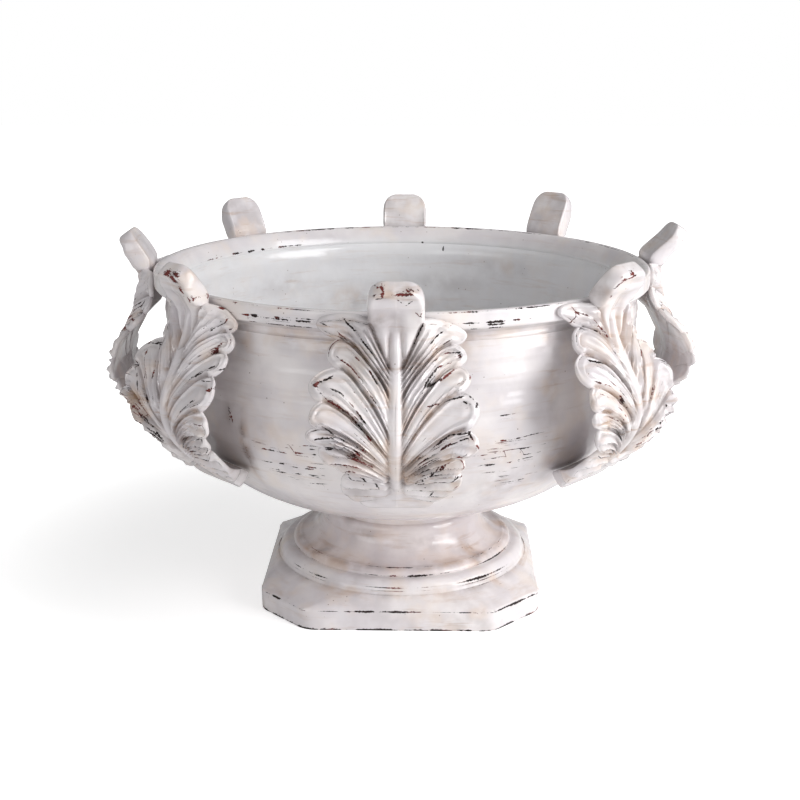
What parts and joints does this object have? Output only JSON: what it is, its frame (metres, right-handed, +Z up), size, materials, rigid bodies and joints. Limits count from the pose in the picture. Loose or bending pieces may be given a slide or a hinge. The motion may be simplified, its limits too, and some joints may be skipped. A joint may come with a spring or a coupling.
{
  "type": "garden urn",
  "caption": "Round footed urn in glazed earthenware: wide open bowl on a waisted foot and square plinth with cut corners, acanthus leaves hanging from the rim as hand holds.",
  "frame": {"origin": "centre of the plinth's underside, on the ground", "axes": "+Z up along the bowl's axis, -Y towards the front leaf, +X to the right of it"},
  "size_m": [0.4846, 0.4874, 0.3149],
  "materials": {
    "plinth_glaze": "glossy white glaze, worn to red clay on the edges",
    "foot_glaze": "glossy white glaze with tan brush streaks",
    "bowl_glaze": "glossy white glaze, worn to red clay on rim and ridges",
    "leaf_glaze": "glossy white glaze with brown wash in the grooves, worn to red clay on the veins"
  },
  "bodies": {
    "root": {"plinth": "plinth_glaze", "foot": "foot_glaze", "bowl": "bowl_glaze", "leaf_front": "leaf_glaze", "leaf_front_right": "leaf_glaze", "leaf_right": "leaf_glaze", "leaf_back_right": "leaf_glaze", "leaf_back": "leaf_glaze", "leaf_back_left": "leaf_glaze", "leaf_left": "leaf_glaze", "leaf_front_left": "leaf_glaze"}
  },
  "joints": []
}
